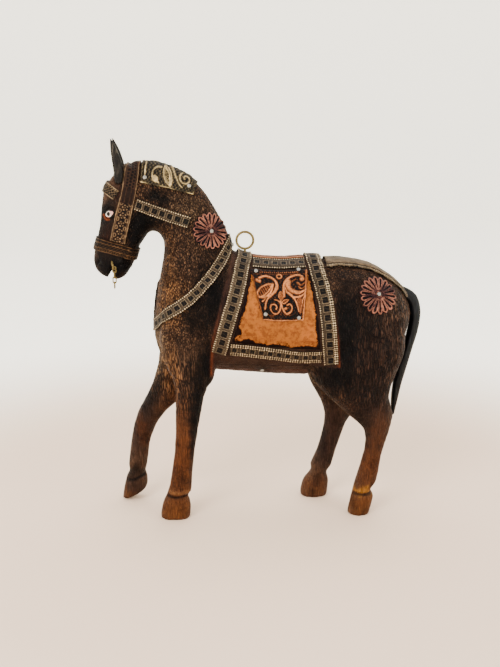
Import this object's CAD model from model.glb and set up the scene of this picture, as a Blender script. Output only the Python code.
"""A carved wooden horse clad in embossed brass and copper, dressed for a picture.

Points on the horse are given in millimetres on the carver's grid: x along the horse with
the head at -x, y out from its middle, z up from the floor. Most are for the left side.
"""

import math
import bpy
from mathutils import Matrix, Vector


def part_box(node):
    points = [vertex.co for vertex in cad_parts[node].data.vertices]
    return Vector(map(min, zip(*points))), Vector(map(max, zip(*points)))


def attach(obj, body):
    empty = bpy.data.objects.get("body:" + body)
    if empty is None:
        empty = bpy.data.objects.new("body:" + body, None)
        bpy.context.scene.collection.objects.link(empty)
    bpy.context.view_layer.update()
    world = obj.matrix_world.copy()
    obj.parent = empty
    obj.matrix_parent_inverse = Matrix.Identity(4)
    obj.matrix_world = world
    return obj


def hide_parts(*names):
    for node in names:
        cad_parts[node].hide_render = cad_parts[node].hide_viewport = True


bl_info = {
    "name": "Carved wooden horse",
    "version": (1, 0, 0),
    "blender": (4, 5, 0),
    "location": "View3D > Sidebar > Horse",
    "description": "Dresses a carved wooden horse in fur, patina and embossed metal",
    "category": "Object",
}

import bmesh
import bpy
import numpy as np
from bpy.props import FloatProperty, FloatVectorProperty, IntProperty, PointerProperty
from bpy.types import Operator, Panel, PropertyGroup
from mathutils import Matrix, Vector, noise
from mathutils.bvhtree import BVHTree

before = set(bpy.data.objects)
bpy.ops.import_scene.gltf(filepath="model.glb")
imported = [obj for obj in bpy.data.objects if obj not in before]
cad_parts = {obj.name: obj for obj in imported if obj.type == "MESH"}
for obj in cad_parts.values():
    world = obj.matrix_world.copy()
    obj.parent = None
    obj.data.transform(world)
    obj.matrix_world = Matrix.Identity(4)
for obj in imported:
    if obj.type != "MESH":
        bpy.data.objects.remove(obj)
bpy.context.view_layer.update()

MM = 0.001
PAINT_SHARE = 0.55
RING_X = -0.6
RING_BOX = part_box("back_ring")
GRID_SHIFT = Vector(((RING_BOX[0].x + RING_BOX[1].x) / 2 - RING_X * MM, 0, 0))


def srgb(red, green, blue, share=PAINT_SHARE):
    """A screen colour, 0 to 255, as linear light. The stage is lit brightly for a pale
    backdrop, so the horse's paints are held back to a share."""
    made = []
    for part in (red, green, blue):
        value = part / 255
        linear = value / 12.92 if value <= 0.04045 else ((value + 0.055) / 1.055) ** 2.4
        made.append(linear * share)
    return tuple(made)


def length(name, description, default, low=0.0001, high=0.1):
    return FloatProperty(
        name=name, description=description, default=default, min=low, max=high,
        unit="LENGTH", precision=4,
    )


def colour(name, description, red, green, blue, share=PAINT_SHARE):
    return FloatVectorProperty(
        name=name, description=description, subtype="COLOR", size=3, min=0, max=1,
        default=srgb(red, green, blue, share),
    )


class HorseSizes(PropertyGroup):
    """Sizes of the carving's surface and of the metal trim"""

    carving_cell: length("Carving cell", "Mesh spacing on the carving", 0.00132)
    sheet_cell: length("Sheet cell", "Mesh spacing on the embossed sheets", 0.00042)
    sheet_thickness: length("Sheet thickness", "Thickness of the metal sheet", 0.0007)
    nail_stand: length("Nail stand", "Height of a nail head's middle over its sheet", 0.0009)
    sheet_lift: length("Sheet lift", "Gap between the wood and the sheet", 0.0004)
    bead_pitch: length("Bead pitch", "Distance from bead to bead in a beaded edge", 0.0018)
    headstall: length("Headstall width", "Width of the cheek straps", 0.0119)
    crown: length("Crown width", "Width of the headstall over the poll", 0.0100)
    browband: length("Browband width", "Width of the browband", 0.0082)
    noseband: length("Noseband width", "Width of the noseband", 0.0097)
    rein: length("Rein strip width", "Width of the rein strips", 0.0088)
    collar: length("Collar width", "Width of the breast collar", 0.0092)
    saddle_band: length("Saddle band width", "Width of the front and rear bands", 0.0115)
    lower_band: length("Lower band width", "Width of the saddle's lower band", 0.0105)
    upper_band: length("Upper band width", "Width of the saddle's upper band", 0.0115)
    crupper: length("Crupper width", "Width of the crupper strap at the saddle", 0.0300)
    crupper_tail: length("Crupper tail width", "Width of the crupper at the tail", 0.0200)
    neck_rosette: length("Neck rosette radius", "Radius of the neck rosettes", 0.0143)
    hip_rosette: length("Hip rosette radius", "Radius of the hip rosettes", 0.0153)
    petals: IntProperty(
        name="Petals", description="Petals round a rosette", default=18, min=6, max=40
    )
    eye_length: length("Eye length", "Length of the eye", 0.0092)
    eye_height: length("Eye height", "Height of the eye", 0.0074)
    nail_radius: length("Nail radius", "Radius of the nail heads", 0.0015)


class HorseColours(PropertyGroup):
    """Colours of the wood and the metals"""

    wood: colour("Wood", "The carving's dark brown", 100, 71, 52)
    wood_light: colour("Worn wood", "Wood worn back on ridges and edges", 168, 138, 106)
    wood_red: colour("Red wood", "Reddish wood along the saddle cloth", 136, 62, 26)
    wood_gold: colour("Golden wood", "Golden brown wood on the chest", 160, 108, 66)
    wood_tan: colour("Tan wood", "Pale tan wood low on the chest", 182, 142, 104)
    wood_leg: colour("Leg wood", "Orange brown wood of the lower legs", 96, 50, 20)
    patina: colour("Patina", "Black patina in the hollows", 7, 5, 6)
    umber: colour("Umber", "Dark brown of the flanks and the face", 46, 28, 22)
    hoof: colour("Hoof", "Orange brown of the hooves", 102, 58, 27)
    ochre: colour("Ochre", "Ochre ring above the hooves", 188, 122, 46)
    brass: colour("Brass", "Aged brass on the high parts", 232, 204, 164, 0.8)
    brass_ground: colour("Brass ground", "Aged brass on the flat", 98, 80, 62)
    brass_dark: colour("Brass dark", "Aged brass in the pits", 6, 5, 5)
    headstall: colour("Headstall metal", "Olive brown metal of the headstall", 176, 140, 104, 0.55)
    gold: colour("Gold brass", "Bright brass of the mane plate's ornament", 240, 206, 144, 0.78)
    copper: colour("Copper", "Bright copper of the saddle panels", 214, 128, 54, 0.52)
    copper_deep: colour("Deep copper", "Duller copper of the saddle panels", 158, 80, 32, 0.6)
    copper_pink: colour("Pink copper", "Copper of the plates and rosettes", 242, 152, 92, 0.75)
    steel: colour("Nails", "Worn steel of the nail heads", 206, 198, 186, 0.8)
    tail: colour("Tail", "Gloss black of the tail", 4, 4, 6)
    ear: colour("Ears", "Grey black of the ears", 22, 19, 18)
    floor: colour("Floor", "The floor's pale beige", 228, 200, 176, 1.0)
    wall: colour("Backdrop", "The backdrop's pale warm grey", 244, 240, 230, 1.0)


# Trim, by points on the left side of the carving
HEADSTALL = [
    (-98.4, 12.7, 222.4), (-96.3, 13.4, 231), (-93.2, 13.5, 243), (-90.3, 13.2, 254.2),
    (-88.5, 12.4, 262), (-87.1, 10.8, 269), (-86, 7, 277), (-85.5, 0, 282),
]
BROWBAND = [(-98.2, 13, 257.6), (-101.5, 11.3, 259.9), (-105, 7.8, 262.3), (-109, 0, 264.6)]
NOSEBAND = [
    (-116, 0, 221), (-114.6, 6.3, 220.2), (-109, 10.8, 219.2), (-96.9, 12.1, 216),
    (-86, 6, 212.1), (-83, 0, 211.3),
]
REIN = [(-84.3, 12.9, 251), (-65.7, 13.3, 244.4), (-43.8, 15.4, 237)]
COLLAR = [
    (-12.8, 0, 222.0), (-14.4, 7, 217.5), (-16.8, 11.5, 212.2), (-20.8, 17.2, 205.8),
    (-28.3, 23, 196.5), (-37.6, 24.8, 186.1), (-47.6, 25.2, 176.9), (-59.2, 23, 168.3),
    (-69.5, 12, 158.5), (-73, 0, 155.3),
]
MANE_PLATE = [
    [(-80.0, 10.3, 266.7), (-79.4, 7.5, 275.5), (-78.6, 0, 282)],
    [(-60.5, 11.6, 262.7), (-60, 8, 272), (-59, 0, 279.5)],
    [(-40.5, 10.5, 257.5), (-39, 6.8, 262.5), (-37, 0, 267)],
]
SADDLE_BAND_FRONT = [
    (-22.2, 27, 137.6), (-19, 30, 149), (-13.5, 32.5, 168.6), (-7.2, 28.7, 189.6),
    (-3.6, 18.5, 204), (-1.8, 9.1, 208.5), (-1.5, 0, 210.5),
]
SADDLE_BAND_REAR = [
    (64.6, 32.5, 128.4), (62.8, 34, 148), (60.8, 34.3, 168.3), (57.8, 30.4, 186),
    (54.4, 21.9, 199.4), (52.4, 11, 206.5), (51.8, 0, 209),
]
SADDLE_BAND_LOWER = [
    (-13.4, 29, 141.4), (2, 30, 139.9), (22, 30.5, 137.3), (41, 30, 134.7), (56.8, 32, 134.3),
]
SADDLE_BAND_UPPER = [(4.8, 12.5, 206.3), (25, 12.5, 204), (45.2, 12.5, 205)]
SADDLE_PANEL = [
    [(3.4, 19.2, 202), (24, 19.2, 200.5), (47.0, 19.2, 201.5)],
    [(-0.6, 29.2, 186.5), (22, 30, 184), (50.6, 30, 184.5)],
    [(-6.4, 32.4, 166.5), (20, 33.5, 163.5), (53.6, 34.5, 163)],
    [(-11.6, 30.4, 147.8), (20, 31.5, 143.9), (56.0, 32.6, 141)],
]
SADDLE_PLATE = [
    [(2.6, 20.8, 201), (24.5, 20.8, 199.8), (46.6, 20.8, 200.8)],
    [(6.6, 29.5, 183), (25.5, 30, 182), (44.6, 30, 183)],
    [(11.4, 33.4, 164.6), (26.7, 33.9, 163.8), (42.2, 34.4, 164.2)],
]
SEAT = [
    [(5.2, -6, 209.5), (25, -6, 206.5), (45.2, -6, 208)],
    [(5.2, 0, 210), (25, 0, 207.5), (45.2, 0, 209)],
    [(5.2, 6, 209.5), (25, 6, 206.5), (45.2, 6, 208)],
]
CRUPPER = [
    (61.8, 0, 206), (76.9, 0, 204.5), (92.9, 0, 201.5), (105, 0, 195.5), (116, 0, 187.5),
    (122.5, 0, 180), (125.5, 0, 175.5),
]
EYE = [(-104.3, 12.3, 243.7), (-108.4, 9.4, 241.9), (-99.9, 13.5, 245.3)]
SADDLE_FRONT_EDGE = [(-28.6, 127), (-27.8, 146), (-21.8, 173), (-15.6, 196), (-8.0, 219)]
SADDLE_REAR_EDGE = [(71.6, 127), (70.4, 146), (66.8, 173), (61.2, 196), (54.5, 219)]


def at(x, y, z):
    """A point of the carver's grid in the scene, in metres."""
    return Vector((x, y, z)) * MM + GRID_SHIFT


def left_side(points):
    return [(x, -y, z) for x, y, z in points]


def mirrored(points):
    """A path on the left side, carried on over the middle and down the right."""
    return left_side(points) + [(x, y, z) for x, y, z in reversed(points) if y != 0]


def sides():
    return (("left", left_side), ("right", list))


# Curves and surfaces


def curve_through(rows, per_span, closed=False):
    """Points on a smooth curve through an array's rows."""
    if closed:
        padded = np.vstack([rows[-1], rows, rows[0], rows[1]])
    else:
        padded = np.vstack([2 * rows[0] - rows[1], rows, 2 * rows[-1] - rows[-2]])
    made = []
    for i in range(1, len(padded) - 2):
        p0, p1, p2, p3 = padded[i - 1 : i + 3]
        for t in np.linspace(0, 1, per_span, endpoint=False):
            made.append(
                0.5 * (2 * p1 + (p2 - p0) * t + (2 * p0 - 5 * p1 + 4 * p2 - p3) * t**2
                       + (3 * p1 - p0 - 3 * p2 + p3) * t**3)
            )
    return np.array(made + [padded[-2]])


def smooth_path(points, count, closed=False):
    """Evenly spaced places on a smooth curve through points in metres, and its length."""
    fine = curve_through(np.array(points, float), 16, closed)
    run = np.concatenate([[0], np.cumsum(np.linalg.norm(np.diff(fine, axis=0), axis=1))])
    wanted = np.linspace(0, run[-1], count + 1)
    return np.stack([np.interp(wanted, run, fine[:, k]) for k in range(3)], axis=1), run[-1]


def unit(rows):
    return rows / np.linalg.norm(rows, axis=-1, keepdims=True)


def grid_points(points):
    return [at(*p) for p in points]


class Carving:
    """The carved body as something to lay sheets on."""

    tree = None
    ray_start = 0.012
    ray_reach = 0.03
    least_facing = 0.2

    @classmethod
    def read(cls, mesh):
        cls.tree = BVHTree.FromPolygons(
            [v.co for v in mesh.vertices], [tuple(p.vertices) for p in mesh.polygons]
        )

    @classmethod
    def nearest(cls, point):
        return cls.tree.find_nearest(point)[:2]

    @classmethod
    def below(cls, point, normal):
        """The place under a point, or the nearest one where the surface turns away."""
        spot, found, _, far = cls.tree.ray_cast(point + normal * cls.ray_start, -normal)
        if spot is None or far > cls.ray_reach or found.dot(normal) < cls.least_facing:
            return cls.nearest(point)
        return spot, found


def evened(values, passes, closed):
    """A grid of values with each row and column smoothed, its borders kept in place."""
    for _ in range(passes):
        for axis in (0, 1):
            moved = np.moveaxis(values, axis, 0)
            if closed and axis == 0:
                ring = moved[:-1]
                moved[:-1] = (np.roll(ring, 1, 0) + 2 * ring + np.roll(ring, -1, 0)) / 4
                moved[-1] = moved[0]
            else:
                moved[1:-1] = (moved[:-2] + 2 * moved[1:-1] + moved[2:]) / 4
    return values


def lay_grid(across, along, place):
    """Spots and normals of a grid on the carving: arrays of (along + 1, across + 1, 3)."""
    found = np.array([
        [[tuple(v) for v in place(i, j)] for i in range(across + 1)] for j in range(along + 1)
    ])
    return found[:, :, 0], found[:, :, 1]


def emboss(name, node, finish, slot, grid, relief, lift=0.0, closed=False, full=0.6,
           marks=None, bite=1.0, bright=1.0):
    """An embossed sheet from a grid on the carving. The relief gives each point's height in
    millimetres, and the full height is where the metal is worn brightest. The marks are
    more values to keep for the material, the bite darkens the relief's sides, and bright
    is how much of the wear is left from place to place."""
    sizes = bpy.context.scene.horse_sizes
    spots, normals = grid
    along, across = spots.shape[0] - 1, spots.shape[1] - 1
    normals = unit(evened(normals, 6, closed))
    rise = sizes.sheet_lift + sizes.sheet_thickness + lift + relief * MM
    places = evened(spots, 3, closed) + normals * rise[..., None]
    values = {"relief": np.clip(relief / full, 0, 1) ** bite * bright, **(marks or {})}
    bm = bmesh.new()
    bmesh.ops.create_grid(bm, x_segments=across, y_segments=along, size=0.5)
    layers = {key: bm.verts.layers.float.new(key) for key in values}
    for vert in bm.verts:
        i = round((vert.co.x + 0.5) * across)
        j = round((vert.co.y + 0.5) * along)
        vert.co = places[j, i]
        for key, layer in layers.items():
            vert[layer] = values[key][j, i]
    if closed:
        bmesh.ops.remove_doubles(bm, verts=bm.verts, dist=1e-6)
    bm.normal_update()
    corner = min(bm.faces, key=lambda f: (f.calc_center_median() - Vector(places[1, 1])).length)
    if corner.normal.dot(Vector(normals[1, 1])) < 0:
        bmesh.ops.reverse_faces(bm, faces=bm.faces)
    sheet(name, bm, finish, slot, node)


def sheet(name, bm, finish, slot, node):
    """A surface made a sheet of metal, thickened toward the wood."""
    obj = finished(name, bm, finish)
    solid = obj.modifiers.new("Sheet", "SOLIDIFY")
    solid.thickness = bpy.context.scene.horse_sizes.sheet_thickness
    solid.offset = -1.0
    dress(obj, slot, node)


def finished(name, bm, finish):
    mesh = bpy.data.meshes.new(name)
    bm.to_mesh(mesh)
    bm.free()
    obj = bpy.data.objects.new(name, mesh)
    bpy.context.scene.collection.objects.link(obj)
    mesh.materials.append(finish)
    mesh.shade_smooth()
    return obj


def dress(obj, slot, *nodes):
    """The piece rides on the horse, takes its finish's slot and stands for its solids."""
    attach(obj, "root")
    if nodes:
        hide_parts(*nodes)


def strap_grid(points, width, closed=False):
    """A grid along a strap laid on the carving, with the distances across and along it and
    the strap's width, in millimetres. The width is a function of the share along it."""
    cell = bpy.context.scene.horse_sizes.sheet_cell
    path = grid_points(points)
    _, run = smooth_path(path, 8, closed)
    along = round(run / cell)
    widest = max(width(v) for v in (0, 0.5, 1))
    across = max(8, 2 * round(widest / cell / 2))
    found = [Carving.nearest(Vector(p)) for p in smooth_path(path, along, closed)[0]]
    spots, ups = (np.array([tuple(pair[k]) for pair in found]) for k in (0, 1))
    window = 9
    kernel = np.hanning(2 * window + 3)[1:-1]
    kernel /= kernel.sum()

    def even(rows):
        rows = np.pad(rows, ((window, window), (0, 0)), mode="wrap" if closed else "edge")
        return np.stack([np.convolve(rows[:, k], kernel, mode="valid") for k in range(3)], axis=1)

    if closed:
        spots, ups = spots[:-1], ups[:-1]
        ways = np.roll(spots, -3, 0) - np.roll(spots, 3, 0)
    else:
        ways = np.gradient(spots, axis=0)
    ups, ways = unit(even(ups)), unit(even(ways))
    if closed:
        spots, ups, ways = (np.concatenate([a, a[:1]]) for a in (spots, ups, ways))
    aside = unit(np.cross(ups, ways))
    shares = np.linspace(-0.5, 0.5, across + 1)

    def place(i, j):
        offset = aside[j] * shares[i] * width(j / along)
        return Carving.below(Vector(spots[j] + offset), Vector(ups[j]))

    grid = lay_grid(across, along, place)
    t = np.linspace(0, run / MM, along + 1)[:, None] * np.ones(across + 1)
    widths = np.array([width(j / along) for j in range(along + 1)])[:, None] / MM
    return grid, shares * widths, t, widths * np.ones(across + 1)


def patch_grid(rows, cell=None):
    """A grid between rows of points, with the shares across and down it."""
    cell = cell or bpy.context.scene.horse_sizes.sheet_cell
    lines = [grid_points(row) for row in rows]
    _, wide = smooth_path(lines[0], 8)
    _, tall = smooth_path([line[len(line) // 2] for line in lines], 8)
    across, along = round(wide / cell), round(tall / cell)
    curves = [smooth_path(line, across)[0] for line in lines]
    columns = [smooth_path([c[i] for c in curves], along)[0] for i in range(across + 1)]
    grid = lay_grid(across, along, lambda i, j: Carving.nearest(Vector(columns[i][j])))
    return grid, *np.meshgrid(np.linspace(0, 1, across + 1), np.linspace(0, 1, along + 1))


# Relief, in millimetres


def ridge(distance, half_width):
    """A rounded ridge where a distance is nought."""
    return np.clip(1 - (distance / half_width) ** 2, 0, 1)


def in_step(t, pitch):
    """Distance along a row from the middle of the step that each place is in."""
    return ((t / pitch) % 1 - 0.5) * pitch


def beads(s, t, middle, pitch, radius):
    """A row of round beads along t."""
    height = 1 - ((s - middle) / radius) ** 2 - (in_step(t, pitch) / radius) ** 2
    return np.sqrt(np.clip(height, 0, 1))


def stroke(x, y, points, width, taper=1.0):
    """A ridge along a smooth line of points, its width running to a share at its end."""
    best = np.zeros_like(x)
    pts = np.array(points, float)
    if 3 <= len(pts) <= 12:
        pts = curve_through(pts, 5)
    total = len(pts) - 1
    for k in range(total):
        (ax, ay), (bx, by) = pts[k], pts[k + 1]
        dx, dy = bx - ax, by - ay
        share = np.clip(((x - ax) * dx + (y - ay) * dy) / max(dx * dx + dy * dy, 1e-9), 0, 1)
        far = np.hypot(x - ax - share * dx, y - ay - share * dy)
        wide = width * (1 + (taper - 1) * (k + share) / total)
        best = np.maximum(best, ridge(far, wide))
    return np.sqrt(best)


def strokes(x, y, rows):
    """The highest of many strokes, each a row of its height, points, width and taper."""
    return np.maximum.reduce([height * stroke(x, y, *shape) for height, *shape in rows])


def spiral(cx, cy, start, turns, radius, inner=0.15, steps=28):
    """Points of a spiral that closes in on its middle."""
    made = []
    for k in range(steps + 1):
        share = k / steps
        angle = start + 2 * math.pi * turns * share
        r = radius * (1 - (1 - inner) * share)
        made.append((cx + r * math.cos(angle), cy + r * math.sin(angle)))
    return made


def by_midrib(x, y, tail, tip):
    """Shares along a leaf's midrib and distances from it."""
    (ax, ay), (bx, by) = tail, tip
    run = math.hypot(bx - ax, by - ay)
    ex, ey = (bx - ax) / run, (by - ay) / run
    return ((x - ax) * ex + (y - ay) * ey) / run, np.abs((x - ax) * -ey + (y - ay) * ex)


def leaf(x, y, tail, tip, half):
    """A raised leaf between two points, with a rim."""
    along, aside = by_midrib(x, y, tail, tip)
    wide = half * np.sin(np.pi * np.clip(along, 0, 1)) ** 0.75
    inside = np.clip((wide - aside) / 0.5, 0, 1) * (along > 0) * (along < 1)
    return inside * 0.75 + 0.25 * inside * ridge(aside - wide + 0.7, 0.6)


def hatched_leaf(x, y, tail, tip, half, rim=2.4):
    """A leaf with a thick raised rim round slanting slits."""
    along, aside = by_midrib(x, y, tail, tip)
    wide = half * np.sin(np.pi * np.clip(along, 0, 1) ** 0.8) ** 0.6
    edge = ridge(aside - wide + rim * 0.5, rim) * (along > -0.04) * (along < 1.02)
    slits = 0.5 + 0.5 * np.cos((x * 0.9 - y * 0.35) * 1.35)
    inside = (aside < wide - rim * 0.5) * (along > 0) * (along < 1)
    return np.maximum(edge, 0.62 * inside * (slits > 0.4))


# Materials


def node_tree_group(name, inputs, outputs):
    tree = bpy.data.node_groups.new(name, "ShaderNodeTree")
    tree.interface.new_socket("Vector", in_out="INPUT", socket_type="NodeSocketVector")
    for key, default in inputs.items():
        socket = tree.interface.new_socket(key, in_out="INPUT", socket_type="NodeSocketFloat")
        socket.default_value = default
    for key in outputs:
        tree.interface.new_socket(key, in_out="OUTPUT", socket_type="NodeSocketFloat")
    given, result = tree.nodes.new("NodeGroupInput"), tree.nodes.new("NodeGroupOutput")
    return Wiring(tree), given.outputs, result.inputs


class Wiring:
    """Short ways to add and link nodes in one tree."""

    def __init__(self, tree):
        self.tree = tree

    def feed(self, socket, value):
        if isinstance(value, bpy.types.NodeSocket):
            self.tree.links.new(value, socket)
        else:
            socket.default_value = (*value, 1) if socket.type == "RGBA" else value

    def add(self, kind, inputs=None, **settings):
        node = self.tree.nodes.new(kind)
        for key, value in settings.items():
            setattr(node, key, value)
        for key, value in (inputs or {}).items():
            self.feed(node.inputs[key], value)
        return node

    def math(self, operation, a, b):
        return self.add("ShaderNodeMath", {0: a, 1: b}, operation=operation).outputs[0]

    def times(self, a, b):
        return self.math("MULTIPLY", a, b)

    def plus(self, a, b):
        return self.math("ADD", a, b)

    def swing(self, value, amount):
        """How far a value is from a half, times an amount."""
        return self.times(self.math("SUBTRACT", value, 0.5), amount)

    def mix(self, share, a, b, blend="MIX"):
        """One colour run into another."""
        inputs = {"Factor": share, 6: a, 7: b}
        return self.add("ShaderNodeMix", inputs, data_type="RGBA", blend_type=blend).outputs[2]

    def blend(self, share, a, b):
        """One value run into another."""
        inputs = {"Factor": share, 2: a, 3: b}
        return self.add("ShaderNodeMix", inputs, data_type="FLOAT").outputs[0]

    def span(self, value, low, high):
        """A value run smoothly to 0 at low and 1 at high."""
        inputs = {"Value": value, "From Min": low, "From Max": high}
        node = self.add("ShaderNodeMapRange", inputs, interpolation_type="SMOOTHSTEP")
        return node.outputs["Result"]

    def noise(self, place, scale, detail=3.0, roughness=0.6):
        inputs = {"Vector": place, "Scale": scale, "Detail": detail, "Roughness": roughness}
        return self.add("ShaderNodeTexNoise", inputs).outputs["Fac"]

    def mapped(self, place, scale, turn=(0, 0, 0)):
        inputs = {"Vector": place, "Scale": scale, "Rotation": turn}
        return self.add("ShaderNodeMapping", inputs).outputs["Vector"]

    def object_place(self):
        return self.add("ShaderNodeTexCoord").outputs["Object"]

    def attribute(self, name, output="Fac"):
        return self.add("ShaderNodeAttribute", attribute_name=name).outputs[output]

    def effect(self, name, **inputs):
        """The outputs of a shared effect, which is built when it is first asked for."""
        group = bpy.data.node_groups.get(name) or EFFECTS[name]()
        return self.add("ShaderNodeGroup", inputs, node_tree=group).outputs

    def surface(self, shader, inputs, height, strength, depth):
        """Feeds the shader, with bumps of a depth from a height."""
        bump = self.add(
            "ShaderNodeBump", {"Height": height, "Strength": strength, "Distance": depth}
        )
        for key, value in {**inputs, "Normal": bump.outputs["Normal"]}.items():
            self.feed(shader.inputs[key], value)


def carved_strokes_group():
    """Short gouge strokes: long cells with grooves between them."""
    w, given, result = node_tree_group("carved_strokes", {}, ("Height", "Tint"))
    edge, cell = (
        w.add("ShaderNodeTexVoronoi", {"Vector": given["Vector"], "Scale": 1.0}, feature=feature)
        for feature in ("DISTANCE_TO_EDGE", "F1")
    )
    w.feed(result["Height"], w.span(edge.outputs["Distance"], 0.0, 0.28))
    shade = w.add("ShaderNodeSeparateColor", {"Color": cell.outputs["Color"]})
    w.feed(result["Tint"], shade.outputs[0])
    return w.tree


def tarnish_group():
    """Dark in the pits, worn bright on the high parts, with blotches."""
    w, given, result = node_tree_group(
        "tarnish", {"Relief": 0.5, "Scale": 260.0, "Blotches": 0.3}, ("Height", "Blotch", "Grain")
    )
    place = given["Vector"]
    fine = w.noise(place, w.times(given["Scale"], 4.0), 3.0, 0.7)
    wide = w.noise(place, given["Scale"], 4.0, 0.65)
    stirred = w.plus(given["Relief"], w.swing(wide, given["Blotches"]))
    w.feed(result["Height"], w.span(stirred, 0.0, 1.0))
    w.feed(result["Blotch"], w.span(wide, 0.38, 0.62))
    w.feed(result["Grain"], fine)
    return w.tree


EFFECTS = {"carved_strokes": carved_strokes_group, "tarnish": tarnish_group}


def new_material(name):
    made = bpy.data.materials.new(name)
    made.use_nodes = True
    shader = made.node_tree.nodes["Principled BSDF"]
    return made, Wiring(made.node_tree), shader


def metal(name, low, middle, high, scale=260.0, blotches=0.35, shine=0.36, relief=None,
          edge=None, wear=0.6):
    """An embossed, tarnished sheet metal: low in the pits, middle on the flat and high on
    the ridges. It reads the sheet's relief unless one value is given for all of it. The
    edge is a dark colour and its reach, for a sheet that keeps its distance to the edge."""
    made, w, shader = new_material(name)
    place = w.object_place()
    worn = w.effect("tarnish", Vector=place, Scale=scale, Blotches=blotches,
                    Relief=w.attribute("relief") if relief is None else relief)
    height, grain = worn["Height"], worn["Grain"]
    body = w.mix(w.span(height, 0.04, 0.34), low, middle)
    lit = w.mix(w.span(height, 0.4, 0.9), body, high)
    stained = w.mix(w.times(worn["Blotch"], wear), lit, low)
    shade = w.mix(w.span(grain, 0.36, 0.62), w.mix(0.6, stained, low), stained)
    if edge:
        dark, reach = edge
        inset = w.plus(w.attribute("edge"), w.swing(w.noise(place, 300.0, 6.0, 0.75), 7.0))
        shade = w.mix(w.span(inset, reach * 0.8, reach * 1.3), dark, shade)
        spots = w.span(w.noise(place, 420.0), 0.6, 0.68)
        near = w.span(inset, reach * 3.6, reach)
        shade = w.mix(w.times(spots, near), shade, dark)
    smooth = w.blend(height, 0.6, shine)
    w.surface(shader, {
        "Base Color": shade,
        "Metallic": w.blend(height, 0.15, 0.8),
        "Roughness": w.blend(w.span(grain, 0.3, 0.7), smooth, 0.6),
        "Specular IOR Level": 0.08,
    }, grain, 0.4, 0.0003)
    return made


def once(name, maker, *values, **settings):
    return bpy.data.materials.get(name) or maker(name, *values, **settings)


def brass_finish():
    c = bpy.context.scene.horse_colours
    return once("band_brass", metal, c.brass_dark, c.brass_ground, c.brass)


def copper_finish():
    c = bpy.context.scene.horse_colours
    return once("plate_copper", metal, srgb(12, 8, 7), srgb(158, 86, 44, 0.55), c.copper_pink,
                blotches=0.6, wear=0.35)


def rosette_finish():
    return once("rosette_copper", metal, srgb(6, 5, 8), srgb(74, 42, 44),
                srgb(220, 144, 118, 0.55), wear=0.5, blotches=0.9)


def carved_wood():
    """The carving: painted tones, gouged fur and black patina in the grooves."""
    c = bpy.context.scene.horse_colours
    made, w, shader = new_material("carved_wood")
    place = w.object_place()
    tone = w.attribute("tone", "Color")
    fur, stretch = w.attribute("fur"), w.attribute("stretch")
    stir = w.add("ShaderNodeTexNoise", {"Vector": place, "Scale": 160.0}).outputs["Color"]
    bend = w.add("ShaderNodeVectorMath", {0: stir, "Scale": 1.5}, operation="SCALE").outputs[0]
    layers = []
    for scale in ((860, 860, 400), (680, 680, 84)):
        straight = w.mapped(place, scale, (0, 0.12, 0))
        bent = w.add("ShaderNodeVectorMath", {0: straight, 1: bend}, operation="ADD").outputs[0]
        layers.append(w.effect("carved_strokes", Vector=bent))
    height = w.blend(stretch, layers[0]["Height"], layers[1]["Height"])
    tint = w.blend(stretch, layers[0]["Tint"], layers[1]["Tint"])
    grain = w.noise(w.mapped(place, (1500, 1500, 110)), 1.0, 5.0, 0.75)
    wide = w.noise(place, 70.0, 6.0, 0.7)
    lively = w.blend(fur, grain, w.plus(w.times(tint, 0.3), w.times(grain, 0.7)))
    dark = w.mix(1.0, tone, (0.14, 0.13, 0.14), "MULTIPLY")
    bright = w.mix(1.0, tone, (2.2, 2.25, 2.2), "MULTIPLY")
    streaked = w.mix(w.span(lively, 0.28, 0.52), dark, tone)
    streaked = w.mix(w.span(lively, 0.5, 0.72), streaked, bright)
    groove = w.times(w.math("SUBTRACT", 1.0, height), fur)
    shaded = w.mix(w.times(groove, 0.95), streaked, c.patina)
    patched = w.mix(w.times(w.span(wide, 0.5, 0.64), 0.6), shaded, dark)
    worn = w.span(w.noise(place, 240.0, 5.0, 0.75), 0.62, 0.72)
    w.surface(shader, {
        "Base Color": w.mix(w.times(worn, w.times(height, 0.22)), patched, c.wood_light),
        "Roughness": w.blend(w.span(wide, 0.35, 0.65), 0.45, 0.65),
        "Specular IOR Level": 0.06,
    }, w.plus(w.times(height, fur), w.times(grain, 0.6)), 1.0, 0.0009)
    return made


def painted_wood(name, ground, light, streak, shine, coat=0.0):
    """Painted wood with streaks along z, worn lighter in places."""
    made, w, shader = new_material(name)
    place = w.object_place()
    lines = w.noise(w.mapped(place, (streak, streak, streak * 0.12)), 1.0, 4.0, 0.7)
    worn = w.times(w.span(lines, 0.45, 0.75), w.span(w.noise(place, 90.0, 4.0), 0.3, 0.7))
    w.surface(shader, {
        "Base Color": w.mix(worn, ground, light),
        "Roughness": w.blend(lines, shine, shine + 0.3),
        "Coat Weight": coat,
        "Coat Roughness": 0.25,
        "Specular IOR Level": 0.08,
    }, lines, 0.4, 0.0003)
    return made


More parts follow.
